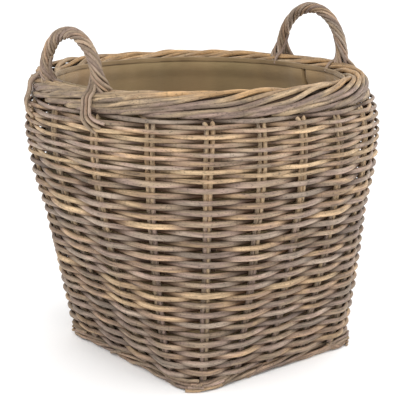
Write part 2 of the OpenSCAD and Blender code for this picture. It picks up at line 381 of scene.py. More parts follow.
class Canes:
    """Swept canes gathered into one mesh.

    Each vertex keeps its place in its own cane (the "grain" attribute: metres along it and
    round it) and its tint (the "tint" attribute: warmth, lightness and shade, from 0 to 1, with
    1 as alpha on a cut end).
    """

    def __init__(self, sides=10):
        self.sides = sides
        self.points = []
        self.grain = []
        self.tint = []
        self.faces = []
        self.count = 0

    def add(self, path, radius, out=None, flat=1.0, warm=0.5, light=0.5, shade=0.0, cut=True):
        """Adds one cane: flat is its thickness along out as a share of that across it."""
        count = len(path)
        along, out, across = frames(path, carried_out(path) if out is None else out)
        radius = np.broadcast_to(radius, (count,))
        angle = np.arange(self.sides) * 2 * math.pi / self.sides
        ring = (
            flat * np.cos(angle)[None, :, None] * out[:, None, :]
            + np.sin(angle)[None, :, None] * across[:, None, :]
        )
        body = path[:, None, :] + radius[:, None, None] * ring
        length = np.concatenate([[0], np.cumsum(np.linalg.norm(np.diff(path, axis=0), axis=1))])
        length += rng.uniform(0, GRAIN_STARTS_WITHIN)
        grain = np.stack(
            [
                np.broadcast_to(length[:, None], body.shape[:2]),
                radius[:, None] * np.cos(angle),
                radius[:, None] * np.sin(angle),
            ],
            axis=-1,
        )
        levels = (warm, light, shade, 0.0)
        tint = np.stack(
            [np.broadcast_to(np.asarray(level, float), (count,)) for level in levels], axis=-1
        )
        tint = np.broadcast_to(tint[:, None, :], body.shape[:2] + (4,))
        start = self.count
        self._take(body, grain, tint)
        rings = start + np.arange(count - 1)[:, None] * self.sides
        here = rings + np.arange(self.sides)
        turned = rings + np.roll(np.arange(self.sides), -1)
        quads = np.stack([here, turned, turned + self.sides, here + self.sides], axis=-1)
        self.faces += quads.reshape(-1, 4).tolist()
        for end, way in ((0, -1), (count - 1, 1)):
            push = radius[end] * END_BULGE * way * along[end]
            self._cap(body[end], grain[end], tint[end], push, path[end], cut)

    def _take(self, points, grain, tint):
        """Adds vertices with their grain and tint."""
        self.points.append(points.reshape(-1, 3))
        self.grain.append(grain.reshape(-1, 3))
        self.tint.append(tint.reshape(-1, 4))
        self.count += points.reshape(-1, 3).shape[0]

    def _cap(self, ring, grain, tint, push, middle, cut):
        """Closes an end with a small bevel and a flat face."""
        start = self.count
        face = middle + END_INSET * (ring - middle) + push
        tint = tint.copy()
        tint[:, 3] = 1.0 if cut else 0.0
        self._take(
            np.vstack([ring, face]), np.vstack([grain, END_INSET * grain]), np.vstack([tint, tint])
        )
        forward = push @ np.cross(ring[0] - middle, ring[1] - middle) > 0
        order = list(range(self.sides))
        for k in order:
            m = (k + 1) % self.sides
            bevel = [start + k, start + m, start + self.sides + m, start + self.sides + k]
            self.faces.append(bevel if forward else bevel[::-1])
        disc = [start + self.sides + k for k in order]
        self.faces.append(disc if forward else disc[::-1])

    def build(self, name, material):
        """Makes one object of all the canes."""
        mesh = bpy.data.meshes.new(name)
        mesh.from_pydata(np.concatenate(self.points).tolist(), [], self.faces)
        mesh.attributes.new("grain", "FLOAT_VECTOR", "POINT").data.foreach_set(
            "vector", np.concatenate(self.grain).ravel()
        )
        mesh.attributes.new("tint", "FLOAT_COLOR", "POINT").data.foreach_set(
            "color", np.concatenate(self.tint).ravel()
        )
        mesh.shade_smooth()
        mesh.materials.append(material)
        piece = bpy.data.objects.new(name, mesh)
        bpy.context.scene.collection.objects.link(piece)
        return piece


def hand_over(piece, slot, *nodes):
    """The piece rides on the basket and stands for those CAD nodes, which are hidden; the slot is not
    used.
    """
    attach(piece, "root")
    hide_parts(*nodes)


# ---- materials ----

def node(tree, kind, inputs=None, **settings):
    """A new shader node. A socket among the inputs is linked and anything else is set."""
    made = tree.nodes.new(kind)
    for key, value in settings.items():
        setattr(made, key, value)
    for key, value in (inputs or {}).items():
        if isinstance(value, bpy.types.NodeSocket):
            tree.links.new(value, made.inputs[key])
        else:
            made.inputs[key].default_value = value
    return made


# a colour Mix node's sockets
MIX_A = 6
MIX_B = 7
MIX_RESULT = 2


def maths(tree, operation, *values):
    """The result of a Math node."""
    return node(tree, "ShaderNodeMath", dict(enumerate(values)), operation=operation).outputs[0]


def noise(tree, vector, stretch, detail=2.0, roughness=0.5):
    """Noise from 0 to 1, with that many features a metre along each axis."""
    scaled = node(tree, "ShaderNodeVectorMath", {0: vector, 1: stretch}, operation="MULTIPLY")
    made = node(
        tree,
        "ShaderNodeTexNoise",
        {"Vector": scaled.outputs[0], "Scale": 1.0, "Detail": detail, "Roughness": roughness},
    )
    return made.outputs["Fac"]


def spread(tree, value, low, high, to_low=0.0, to_high=1.0):
    """A value's part from low to high, stretched to another range and clamped."""
    made = node(
        tree,
        "ShaderNodeMapRange",
        {"Value": value, "From Min": low, "From Max": high, "To Min": to_low, "To Max": to_high},
    )
    return made.outputs["Result"]


def new_material(name):
    """A material with an empty node tree."""
    material = bpy.data.materials.new(name)
    material.use_nodes = True
    material.node_tree.nodes.clear()
    return material, material.node_tree


# the dark brown that painted shade darkens cane towards
PAINTED_SHADE_BROWN = (0.18, 0.11, 0.062)
PITH = (0.31, 0.22, 0.135)
JOINT_SPACING = 0.31
THREAD = 0.0009


def cane_material(name, tones):
    """Weathered cane: long fibres, patches of weathering, faint joints and specks, pale cut ends, and
    painted shade by the tint's shade channel.
    """
    material, tree = new_material(name)
    grain = node(tree, "ShaderNodeAttribute", attribute_name="grain").outputs["Vector"]
    tint = node(tree, "ShaderNodeAttribute", attribute_name="tint")
    parts = node(tree, "ShaderNodeSeparateColor", {"Color": tint.outputs["Color"]})
    warm, light, shade = (parts.outputs[channel] for channel in ("Red", "Green", "Blue"))

    patches = noise(tree, grain, (11, 60, 60), detail=3.0)
    streaks = noise(tree, grain, (16, 260, 260), detail=3.0, roughness=0.6)
    mottling = noise(tree, grain, (70, 190, 190), detail=2.0)
    fibres = noise(tree, grain, (60, 1700, 1700), detail=3.0, roughness=0.6)
    specks = noise(tree, grain, (300, 520, 520), detail=2.0)
    along = node(tree, "ShaderNodeSeparateXYZ", {"Vector": grain}).outputs["X"]
    phase = maths(tree, "FRACT", maths(tree, "DIVIDE", along, JOINT_SPACING))
    from_joint = maths(tree, "ABSOLUTE", maths(tree, "SUBTRACT", phase, 0.5))
    joint = spread(tree, from_joint, 0.005, 0.002)
    swelling = spread(tree, from_joint, 0.02, 0.0)

    weathering = maths(tree, "MULTIPLY_ADD", maths(tree, "SUBTRACT", patches, 0.5), 1.7, warm)
    ramp = node(tree, "ShaderNodeValToRGB", {"Fac": weathering})
    ramp.color_ramp.elements.remove(ramp.color_ramp.elements[1])
    for place, colour in tones:
        stop = ramp.color_ramp.elements.new(place)
        stop.color = (*colour, 1.0)
    ramp.color_ramp.elements.remove(ramp.color_ramp.elements[0])

    brightness = maths(tree, "MULTIPLY_ADD", light, 0.72, 0.44)
    for value, low, high, at_low, at_high in (
        (streaks, 0.3, 0.7, 0.54, 1.38),
        (mottling, 0.3, 0.7, 0.80, 1.16),
        (fibres, 0.3, 0.7, 0.84, 1.12),
        (specks, 0.57, 0.68, 1.0, 0.5),
        (joint, 0.0, 1.0, 1.0, 0.75),
    ):
        brightness = maths(
            tree, "MULTIPLY", brightness, spread(tree, value, low, high, at_low, at_high)
        )
    skin = node(
        tree,
        "ShaderNodeVectorMath",
        {0: ramp.outputs["Color"], "Scale": brightness},
        operation="SCALE",
    )
    # painted shade: the cane is darkened towards that dark brown as far as the tint's shade channel
    # goes
    painted_shade = node(
        tree,
        "ShaderNodeMix",
        {"Factor": shade, MIX_A: skin.outputs[0], MIX_B: (*PAINTED_SHADE_BROWN, 1.0)},
        data_type="RGBA",
        blend_type="MULTIPLY",
    )
    pith = node(
        tree,
        "ShaderNodeMix",
        {"Factor": tint.outputs["Alpha"], MIX_A: painted_shade.outputs[MIX_RESULT], MIX_B: (*PITH, 1.0)},
        data_type="RGBA",
    )

    relief = maths(tree, "MULTIPLY_ADD", fibres, 0.35, maths(tree, "MULTIPLY", swelling, 0.8))
    relief = maths(tree, "MULTIPLY_ADD", streaks, 0.8, relief)
    bump = node(tree, "ShaderNodeBump", {"Height": relief, "Strength": 0.6, "Distance": 0.0008})
    shader = node(
        tree,
        "ShaderNodeBsdfPrincipled",
        {
            "Base Color": pith.outputs[MIX_RESULT],
            "Roughness": spread(tree, fibres, 0.3, 0.7, 0.5, 0.74),
            "Specular IOR Level": 0.3,
            "Normal": bump.outputs["Normal"],
        },
    )
    node(tree, "ShaderNodeOutputMaterial", {"Surface": shader.outputs[0]})
    return material


def cloth_material(name, cool, warm):
    """Khaki canvas: a fine plain weave, slow changes of tone and a soft sheen."""
    material, tree = new_material(name)
    place = node(tree, "ShaderNodeNewGeometry").outputs["Position"]
    across = node(tree, "ShaderNodeUVMap", uv_map="cloth").outputs["UV"]
    parts = node(tree, "ShaderNodeSeparateXYZ", {"Vector": across})
    threads = 2 * math.pi / THREAD
    warp = maths(tree, "SINE", maths(tree, "MULTIPLY", parts.outputs["X"], threads))
    weft = maths(tree, "SINE", maths(tree, "MULTIPLY", parts.outputs["Y"], threads))
    weave = maths(tree, "MULTIPLY", warp, weft)
    slubs = noise(tree, across, (60, 900, 1), detail=2.0)
    tones = noise(tree, place, (9, 9, 14), detail=2.0)
    warmth = noise(tree, place, (5, 5, 5), detail=1.0)
    colour = node(
        tree,
        "ShaderNodeMix",
        {
            "Factor": spread(tree, warmth, 0.35, 0.65),
            MIX_A: (*cool, 1.0),
            MIX_B: (*warm, 1.0),
        },
        data_type="RGBA",
    )
    brightness = maths(
        tree,
        "MULTIPLY",
        spread(tree, tones, 0.3, 0.7, 0.86, 1.1),
        spread(tree, weave, -1.0, 1.0, 0.93, 1.05),
    )
    brightness = maths(tree, "MULTIPLY", brightness, spread(tree, slubs, 0.3, 0.7, 0.95, 1.05))
    dyed = node(
        tree,
        "ShaderNodeVectorMath",
        {0: colour.outputs[MIX_RESULT], "Scale": brightness},
        operation="SCALE",
    )
    relief = maths(tree, "MULTIPLY_ADD", weave, 0.5, slubs)
    bump = node(tree, "ShaderNodeBump", {"Height": relief, "Strength": 0.35, "Distance": 0.0003})
    shader = node(
        tree,
        "ShaderNodeBsdfPrincipled",
        {
            "Base Color": dyed.outputs[0],
            "Roughness": 0.86,
            "Sheen Weight": 0.25,
            "Sheen Roughness": 0.5,
            "Specular IOR Level": 0.2,
            "Normal": bump.outputs["Normal"],
        },
    )
    node(tree, "ShaderNodeOutputMaterial", {"Surface": shader.outputs[0]})
    return material


GREY = (0.350, 0.271, 0.207)
MAUVE = (0.300, 0.211, 0.167)
TAUPE = (0.318, 0.236, 0.158)
RUSSET = (0.312, 0.208, 0.146)
TAN = (0.408, 0.276, 0.164)
BUFF = (0.508, 0.364, 0.218)
AMBER = (0.530, 0.328, 0.158)
grey_cane = cane_material(
    "grey_cane",
    [(0.05, GREY), (0.25, MAUVE), (0.45, TAUPE), (0.6, RUSSET), (0.75, TAN), (1.0, BUFF)],
)
buff_cane = cane_material(
    "buff_cane",
    [(0.0, GREY), (0.15, MAUVE), (0.35, TAUPE), (0.5, RUSSET), (0.65, TAN), (1.0, BUFF)],
)
stake_cane = cane_material(
    "stake_cane", [(0.0, MAUVE), (0.25, TAUPE), (0.45, BUFF), (0.7, TAN), (1.0, AMBER)]
)
handle_cane = cane_material(
    "handle_cane", [(0.1, GREY), (0.3, MAUVE), (0.55, TAUPE), (0.8, RUSSET), (1.0, TAN)]
)
base_cane = cane_material("base_cane", [(0.1, MAUVE), (0.4, TAUPE), (0.7, RUSSET), (1.0, TAN)])
lining_cloth = cloth_material("lining_cloth", (0.280, 0.212, 0.106), (0.390, 0.262, 0.140))
hem_cloth = cloth_material("hem_cloth", (0.212, 0.146, 0.072), (0.250, 0.166, 0.084))


# ---- the woven wall ----

SAMPLES_PER_PAIR = 10
HALF_LENGTHS = (2, 6)
SHORTEST = 4
ENDS_OVERLAP = 0.2
END_TUCKED = 0.0010
END_TUCKED_OVER = 0.55
ZIGZAG = 0.95
# painted shade on the weave starts this deep in the wall and is full this much deeper
SHADE_FROM_DEPTH = 0.0078
SHADE_OVER = 0.0075
CLEAR_OF_FACE = 0.0003

# each band's rows and its first row's number, its canes' half height and half thickness, how far
# they are sunk into the stakes that they pass behind, their warmth and its scatter, and lightness
BANDS = (
    {
        "name": "weave_lower",
        "node": "lower_weave",
        "slot": "grey_cane",
        "material": grey_cane,
        "rows": 39,
        "first_row": 0,
        "half_up": 0.0043,
        "half_out": 0.0035,
        "bedded": 0.0009,
        "warmth": (0.44, 0.22),
        # set darker than the bands above: partly the canes' own tone, partly painted shade for the
        # lower wall, which faces a little down
        "lightness": 0.58,
    },
    {
        "name": "weave_upper",
        "node": "upper_weave",
        "slot": "buff_cane",
        "material": buff_cane,
        "rows": 12,
        "first_row": 39,
        "half_up": 0.0033,
        "half_out": 0.0029,
        "bedded": 0.0034,
        "warmth": (0.52, 0.22),
        "lightness": 0.72,
    },
    {
        "name": "weave_top",
        "node": "waling_band",
        "slot": "grey_cane",
        "material": grey_cane,
        "rows": 2,
        "first_row": 51,
        "half_up": 0.0032,
        "half_out": 0.0029,
        "bedded": 0.0034,
        "warmth": (0.32, 0.2),
        "lightness": 0.72,
    },
)


def zigzag(x):
    """From 1 at even numbers to -1 at odd ones, straight between them and rounded at both."""
    return np.arcsin(ZIGZAG * np.cos(math.pi * x)) / math.asin(ZIGZAG)


def weave_cane(canes, band, row, z, places, half_up, warm, light):
    """One length of cane in a row: in front of the even pairs and behind the odd ones."""
    half_out = band["half_out"]
    back = STAKE_DEPTH + STAKE_R + half_out - band["bedded"]
    index, turns = pair_turns(z)
    turn = np.interp(places, index, turns)
    front = half_out + CLEAR_OF_FACE + wander(places, 5.0, 0.0007)
    depth = (front + back) / 2 - zigzag(places + row) * (back - front) / 2
    tucked = END_TUCKED * smooth_step(1 - (places - places[0]) / END_TUCKED_OVER)
    rise = z + wander(places, 4.0, 0.0008)
    _, out = wall_place(turn, rise)
    canes.add(
        wall_point(turn, rise, depth + tucked),
        half_up * (1 + wander(places, 3.0, 0.07)),
        out=out,
        flat=half_out / half_up,
        warm=np.clip(warm + wander(places, 6.0, 0.15), 0, 1),
        light=np.clip(light + wander(places, 4.0, 0.12), 0, 1),
        # painted shade on the parts of the cane that run deep behind the stakes
        shade=smooth_step((depth - SHADE_FROM_DEPTH) / SHADE_OVER),
    )


def woven_band(band):
    """A band of rows, each of several lengths of cane whose ends overlap behind a pair."""
    low, high = heights(band["node"])
    pitch = (high - low) / band["rows"]
    canes = Canes()
    for row in range(band["rows"]):
        z = low + pitch * (row + 0.5)
        number = row + band["first_row"]
        behind = 1 - number
        start = behind + 2 * rng.integers(PAIRS // 2)
        covered = 0
        while covered < PAIRS:
            length = 2 * rng.integers(*HALF_LENGTHS)
            if PAIRS - covered - length < SHORTEST:
                length = PAIRS - covered
            first = (start + covered) % PAIRS
            places = np.linspace(
                first - ENDS_OVERLAP,
                first + length + ENDS_OVERLAP,
                int(length * SAMPLES_PER_PAIR) + 5,
            )
            wobble = rng.normal(0, 0.0003)
            half_up = band["half_up"] * rng.uniform(0.88, 1.06)
            warm = np.clip(rng.normal(*band["warmth"]), 0, 1)
            light = np.clip(rng.normal(band["lightness"], 0.2), 0, 1)
            weave_cane(canes, band, number, z + wobble, places, half_up, warm, light)
            covered += length
    hand_over(canes.build(band["name"], band["material"]), band["slot"], band["node"])


def rolled_end(turn, thick):
    """A stake's end: over the rim's rods, along its outside and in again just below it."""
    u = np.linspace(0, 1, ROLL_STEPS)
    place = turn + ROLL_TRAVEL * u
    loose = 1 + LOOSENESS * hump(place, LOOSE_TURN, LOOSE_SPREAD)
    angle = ROLL_FROM + (ROLL_TO - ROLL_FROM) * u + loose * wander(u, 0.8, 0.21)
    squeezed = ROLL_SQUEEZED * np.maximum(0, np.cos(angle))
    orbit = RIM_R - thick - squeezed + loose * wander(u, 0.5, 0.0015)
    over = rim_point(place, angle, orbit)
    v = np.linspace(0, 1, ROLL_END_STEPS)[1:]
    start_z = over[-1, 2]
    start_depth = RIM_R - orbit[-1] * math.cos(angle[-1])
    depth = start_depth + (thick + ROLL_OFF_WALL - start_depth) * smooth_step(1.5 * v)
    down = wall_point(
        place[-1] + ROLL_END_TRAVEL * v,
        start_z + (ROLL_END_Z - start_z) * v,
        depth + ROLL_TUCK * smooth_step((v - 0.8) / 0.2),
    )
    return np.vstack([over, down])


def stake_pair(number):
    """Two stakes, up through the weave and rolled over the rim's rods: one thin and one thick."""
    canes = Canes()
    z = np.linspace(heights("foot_hoop")[1], ROLL_START_Z, STAKE_STEPS)
    gap = PAIR_GAP * (1 + PAIR_WIDENS * smooth_step((z - PAIR_WIDENS_Z) / PAIR_WIDENS_OVER))
    drift = PAIR_DRIFT * math.cos(4 * math.pi * (number / PAIRS - DRIFT_CORNER)) / RIM_TOP
    for side, end_r, trails in ((-1, THIN_END_R, 0.5 / PAIRS), (1, THICK_END_R, 0)):
        turn = number / PAIRS + PAIR_START + drift * z + side * gap / 2 / RIM_SQUARE
        upright = wall_point(turn + wander(z, 0.3, 0.0006), z, np.full(z.shape, STAKE_DEPTH))
        thick = rng.uniform(*end_r)
        rolled_turn = turn[-1] - trails + rng.normal(0, ROLL_SCATTER)
        path = soften(np.vstack([upright, rolled_end(rolled_turn, thick)]), ROLL_SOFTENINGS)
        on_rim = smooth_step((np.arange(len(path)) - len(z)) / ROLL_BLEND_STEPS)
        # the uprights turn lighter and warmer higher up the wall
        lighter_up = smooth_step((path[:, 2] - LIGHTER_FROM_Z) / LIGHTER_OVER)
        sunny = smooth_step((path[:, 2] - RIM_Z) / SUNNY_OVER)
        rolled_warm = rng.uniform(0.0, 0.3) * (1 - sunny) + rng.uniform(0.55, 1.15) * sunny
        rolled_light = rng.uniform(0.3, 0.62)
        upright_r = STAKE_R * rng.uniform(0.9, 1.08)
        upright_warm = 0.12 + 0.33 * lighter_up + rng.normal(0, 0.06)
        upright_light = 0.35 + 0.45 * lighter_up
        canes.add(
            path,
            upright_r * (1 - on_rim) + thick * on_rim,
            warm=upright_warm * (1 - on_rim) + rolled_warm * on_rim,
            light=upright_light * (1 - on_rim) + rolled_light * on_rim,
        )
    name = f"stake_pair_{number + 1:02d}"
    hand_over(canes.build("cane_" + name, stake_cane), "stake_cane", name)


def rim_core():
    """Rods twisted together inside the rim's rolled canes."""
    rods = Canes()
    turn = np.linspace(0, 1, 401)
    for rod in range(RODS):
        angle = 2 * math.pi * (rod / RODS + ROD_TURNS * turn)
        path = rim_point(turn, angle, ROD_ORBIT)
        # painted shade: the rods are darkened towards dark brown, for the gaps between the rolled
        # canes
        rods.add(path, ROD_R, warm=0.5, light=0.4, shade=0.85, cut=False)
    hand_over(rods.build("rim_core", grey_cane), "grey_cane", "rim_hoop")


for band in BANDS:
    woven_band(band)
for number in range(PAIRS):
    stake_pair(number)
rim_core()


# ---- foot and base ----

def corner_ends(canes):
    """Canes of the border that run straight on at each corner, cross and end in cut stubs."""
    t = np.linspace(0, 1, 24)
    depth = FOOT_FACE_DEPTH - CORNER_PROUD * t**3
    for corner in range(4):
        for way, low_z in CORNER_LOW_Z.items():
            for layer in range(CORNER_LAYERS):
                past = CORNER_RUN * (t - 1) + CORNER_PAST - CORNER_STAGGER * layer
                turn = (corner + 0.5) / 4 + way * past
                end = wall_point(turn, np.zeros_like(t), depth)
                climb = way * CORNER_SLOPE * t
                end[:, 2] = low_z + CORNER_LAYER * layer + climb + wander(t, 1.0, 0.0012)
                end[:, 2] = np.maximum(end[:, 2], CORNER_CLEAR_Z)
                canes.add(
                    end, rng.uniform(*STUB_R), warm=rng.random(), light=rng.uniform(0.3, 0.8)
                )


def foot_stubs(canes):
    """Cut ends along the foot's outside, some rising and some falling."""
    rising = np.linspace(STUB_LOW_Z, STUB_HIGH_Z, STUB_STEPS)
    falling = np.linspace(STUB_HIGH_Z, STUB_FALLS_TO_Z, STUB_STEPS)
    for start in STUB_TURNS:
        turn = start + np.linspace(0, STUB_LENGTH, STUB_STEPS)
        path = wall_point(turn, np.zeros(STUB_STEPS), np.full(STUB_STEPS, FOOT_FACE_DEPTH))
        path[:, 2] = rising if rng.random() < 0.5 else falling
        canes.add(path, rng.uniform(*STUB_R), warm=rng.random(), light=rng.uniform(0.3, 0.7))


def foot_rings():
    """The foot's hoop of stacked canes, with the cut ends on its outside."""
    low, high = heights("foot_hoop")
    hoop = Canes()
    radius = (high - low) / HOOP_LAYERS / 2
    turn = np.linspace(0, 1, 301)
    for layer in range(HOOP_LAYERS):
        z = low + radius * (1 + 2 * layer)
        ring = wall_point(turn, np.zeros_like(turn), np.full(turn.shape, HOOP_DEPTH + radius))
        hoop.add(
            ring + [0, 0, z],
            radius,
            warm=rng.uniform(0.2, 0.8),
            light=rng.uniform(0.2, 0.5),
            cut=False,
        )
    foot_stubs(hoop)
    corner_ends(hoop)
    hand_over(hoop.build("foot_rings", base_cane), "base_cane", "foot_hoop")


def foot_cane(index):
    """A doubled cane twisted with its neighbours round the foot's outside."""
    turn = np.linspace(0, 1, 301)
    strand = Canes()
    for half in (0, 1):
        angle = 2 * math.pi * (FOOT_CANE_TURNS * turn + (index + 0.5 * half) / FOOT_CANES)
        angle += wander(turn, 0.18, 0.6)
        orbit = FOOT_CANE_ORBIT * (1.15 + wander(turn, 0.10, 0.3))
        depth = FOOT_CANE_DEPTH - orbit * np.cos(angle)
        path = wall_point(turn, np.zeros_like(turn), depth)
        path[:, 2] = FOOT_CANE_Z + orbit * np.sin(angle)
        thick = FOOT_CANE_R * rng.uniform(0.55, 0.75)
        path[:, 2] = np.maximum(path[:, 2], 1.1 * thick)
        strand.add(
            path,
            thick * (1 + wander(turn, 0.1, 0.06)),
            warm=np.clip(0.45 + wander(turn, 0.3, 0.35), 0, 1),
            light=np.clip(0.6 + wander(turn, 0.15, 0.35), 0, 1),
            cut=False,
        )
    name = f"foot_cane_{index + 1}"
    hand_over(strand.build("twisted_" + name, base_cane), "base_cane", name)


def base_sticks():
    """Sticks across the foot."""
    low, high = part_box("base_sticks")
    stick_r = (high[2] - low[2]) / 2
    sticks = Canes()
    for y in np.linspace(low[1] + stick_r, high[1] - stick_r, STICKS):
        x = np.linspace(low[0], high[0], 24)
        level = np.full(x.shape, low[2] + stick_r)
        path = np.stack([x, y + wander(x, 0.3, 0.0006), level], axis=1)
        sticks.add(path, stick_r, warm=rng.uniform(0.3, 0.8), light=rng.uniform(0.4, 0.7))
    hand_over(sticks.build("base_sticks_cane", base_cane), "base_cane", "base_sticks")


def base_mat():
    """Close thin canes woven over and under spaced straight ones."""
    low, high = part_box("base_weave")
    mat = Canes(sides=8)
    middle = (low + high) / 2
    half = (high[0] - low[0]) / 2
    furthest = half - MAT_CANE_R
    for axis, gap, steps in ((0, MAT_PITCH, 60), (1, MAT_STEP, 90)):
        count = int(2 * furthest / gap)
        for i in range(count + 1):
            off = -half + MAT_CANE_R + (2 * furthest) * i / count
            cut_off = max(0.0, abs(off) - (half - MAT_CORNER)) * MAT_CORNER_CUT
            reach = furthest - cut_off
            t = np.linspace(-reach, reach, steps)
            lift = MAT_CANE_R * np.cos(math.pi * (t / MAT_STEP + i)) if axis == 0 else 0
            path = np.zeros((len(t), 3))
            path[:, 1 - axis] = t + middle[1 - axis]
            path[:, axis] = off + middle[axis]
            path[:, 2] = middle[2] + lift
            mat.add(path, MAT_CANE_R, warm=rng.uniform(0.2, 0.8), light=rng.uniform(0.3, 0.7))
    hand_over(mat.build("base_mat", base_cane), "base_cane", "base_weave")


foot_rings()
for index in range(FOOT_CANES):
    foot_cane(index)
base_sticks()
base_mat()


# ---- handles ----

def foot_turn(handle, foot):
    """The turn round the rim where a handle's foot stands."""
    flat = RIM_HALF - RIM_CORNER
    angle = math.asin((handle["span"] / 2 - flat) / (RIM_CORNER - RIM_R))
    share = (flat + RIM_CORNER * angle) / (8 * flat + 2 * math.pi * RIM_CORNER)
    return handle["turn"] + handle["side"] * foot * share


def handle_middle(handle):
    """The point midway between a handle's feet, on top of the rim."""
    turns = np.array([foot_turn(handle, foot) for foot in (-1, 1)])
    feet = rim_point(turns, math.pi / 2, RIM_R, dip=0)
    return (feet[0] + feet[1]) / 2 + np.array([handle["side"] * HANDLE_OUT, 0, 0])


def handle_point(handle, u, distance, angle):
    """Points off a handle's middle line: u is 0 to 1 from foot to foot, and beyond it is below."""
    a = math.pi * (1 - np.clip(u, 0, 1))
    half = handle["span"] / 2
    height = handle["height"]
    out = np.stack([height * np.cos(a), half * np.sin(a)], axis=-1)
    out /= np.linalg.norm(out, axis=-1)[:, None]
    below = (np.maximum(0, -u) + np.maximum(0, u - 1)) * math.pi * height
    inward = HANDLE_LEAN * smooth_step((np.abs(u - 0.5) - HANDLE_LEAN_FROM) / HANDLE_LEAN_OVER)
    return handle_middle(handle) + np.stack(
        [
            distance * np.sin(angle) - handle["side"] * inward,
            half * np.cos(a) + distance * np.cos(angle) * out[:, 0],
            HANDLE_FOOT_Z
            + (height - HANDLE_FOOT_Z) * np.sin(a)
            + distance * np.cos(angle) * out[:, 1]
            - below,
        ],
        axis=-1,
    )


def leg_point(handle, foot, up_leg, distance, angle):
    """Points beside one leg of a handle, at shares of the whole loop up from the foot."""
    u = (0.0 if foot < 0 else 1.0) - foot * np.array(up_leg)
    return handle_point(handle, u, np.full(len(u), distance), np.full(len(u), angle))


def smoothed(points, count, passes):
    """A smooth path of that many points through or near a few."""
    places = np.linspace(0, len(points) - 1, count)
    index = np.arange(len(points))
    path = np.stack([np.interp(places, index, points[:, k]) for k in range(3)], axis=1)
    return soften(path, passes)


def tie(handle, foot, start, low_z, angle_on_leg):
    """A cane from a handle's leg, out over the rim and down into the weave."""
    leg = leg_point(handle, foot, TIE_LEG_U, HANDLE_CORE_R + HANDLE_CANE_R, angle_on_leg)
    angle = np.radians(np.linspace(*TIE_OVER_DEGREES, 9))
    over = rim_point(start, angle, RIM_R + TIE_CLEAR)
    v = np.linspace(0, 1, 9)
    down = wall_point(
        start + TIE_TRAVEL * v**1.5,
        TIE_FROM_Z + (low_z - TIE_FROM_Z) * v,
        -TIE_OFF_WALL + TIE_TUCK * smooth_step((v - 0.7) / 0.3),
    )
    return smoothed(np.vstack([leg, over, down]), 80, 50)


def inner_tie(handle, foot, turn):
    """A cane from a handle's leg, in over the rim and down to the lining."""
    stand_off = HANDLE_CORE_R + INNER_TIE_OFF * HANDLE_CANE_R
    leg = leg_point(handle, foot, INNER_TIE_LEG_U, stand_off, math.pi)
    angle = np.radians(np.linspace(*INNER_TIE_OVER_DEGREES, 7))
    over = rim_point(turn, angle, RIM_R + INNER_TIE_CLEAR)
    return smoothed(np.vstack([leg, over]), 50, 20)


def handle_core(side_name):
    """The rod that a handle's canes are twisted round."""
    u = np.linspace(-HANDLE_BELOW, 1 + HANDLE_BELOW, HANDLE_STEPS)
    on_line = np.zeros_like(u)
    core = Canes()
    path = handle_point(HANDLES[side_name], u, on_line, on_line)
    core.add(path, HANDLE_CORE_R, warm=0.1, light=0.1)
    piece = core.build(f"handle_{side_name}_rod", handle_cane)
    hand_over(piece, "handle_cane", f"handle_{side_name}_core")


def handle_rope(side_name):
    """The canes twisted round a handle's core, which spread a little at its feet."""
    u = np.linspace(-HANDLE_BELOW, 1 + HANDLE_BELOW, HANDLE_STEPS)
    rope = Canes()
    for index in range(HANDLE_CANES):
        angle = 2 * math.pi * (index / HANDLE_CANES - HANDLE_TURNS * u) + wander(u, 0.6, 0.16)
        spreading = 0.0005 + rng.uniform(*HANDLE_FLARE) * np.maximum(0, np.cos(angle))
        at_foot = smooth_step((np.abs(u - 0.5) - HANDLE_FLARE_FROM) / HANDLE_FLARE_OVER)
        flare = spreading * at_foot
        distance = HANDLE_CORE_R + HANDLE_CANE_R * (1 + wander(u, 0.4, 0.16)) + flare
        rope.add(
            handle_point(HANDLES[side_name], u, distance, angle),
            HANDLE_CANE_R * rng.uniform(0.86, 1.1) * (1 + wander(u, 0.5, 0.05)),
            warm=np.clip(rng.normal(0.45, 0.25), 0, 1),
            light=rng.uniform(0.42, 0.85),
        )
    piece = rope.build(f"handle_{side_name}_rope", handle_cane)
    hand_over(piece, "handle_cane", f"handle_{side_name}_canes")


def handle_ties(side_name):
    """The canes that tie a handle's feet down, over the outside of the rim and over its inside."""
    shape = HANDLES[side_name]
    tails = Canes()
    for foot in (-1, 1):
        away = shape["side"] * foot
        at_foot = foot_turn(shape, foot)
        for index in range(TIES):
            start = at_foot + away * (index * TIE_STEP + shape["tie_from"][foot])
            low_z = TIE_END_Z + TIE_END_STEP * index
            angle_on_leg = math.pi + shape["side"] * TIE_FAN * (index - 1)
            path = tie(shape, foot, start, low_z, angle_on_leg)
            tails.add(path, TIE_R, warm=rng.uniform(0.2, 0.7), light=rng.uniform(0.5, 0.85))
        path = inner_tie(shape, foot, at_foot - away * INNER_TIE_BACK)
        tails.add(path, INNER_TIE_R, warm=rng.uniform(0.2, 0.6), light=rng.uniform(0.5, 0.8))
    piece = tails.build(f"handle_{side_name}_ties", handle_cane)
    hand_over(piece, "handle_cane", f"handle_{side_name}_tails")


for side_name in HANDLES:
    handle_core(side_name)
    handle_rope(side_name)
    handle_ties(side_name)


# ---- lining ----

def cloth_depth(z):
    """How far in from the wall's face the cloth hangs: it leans in to the inside of the rim."""
    lean = smooth_step((z - LINING_LEAN_Z) / (RIM_Z - RIM_R - LINING_LEAN_Z))
    return LINING_DEPTH + (LINING_TOP_DEPTH - LINING_DEPTH) * lean


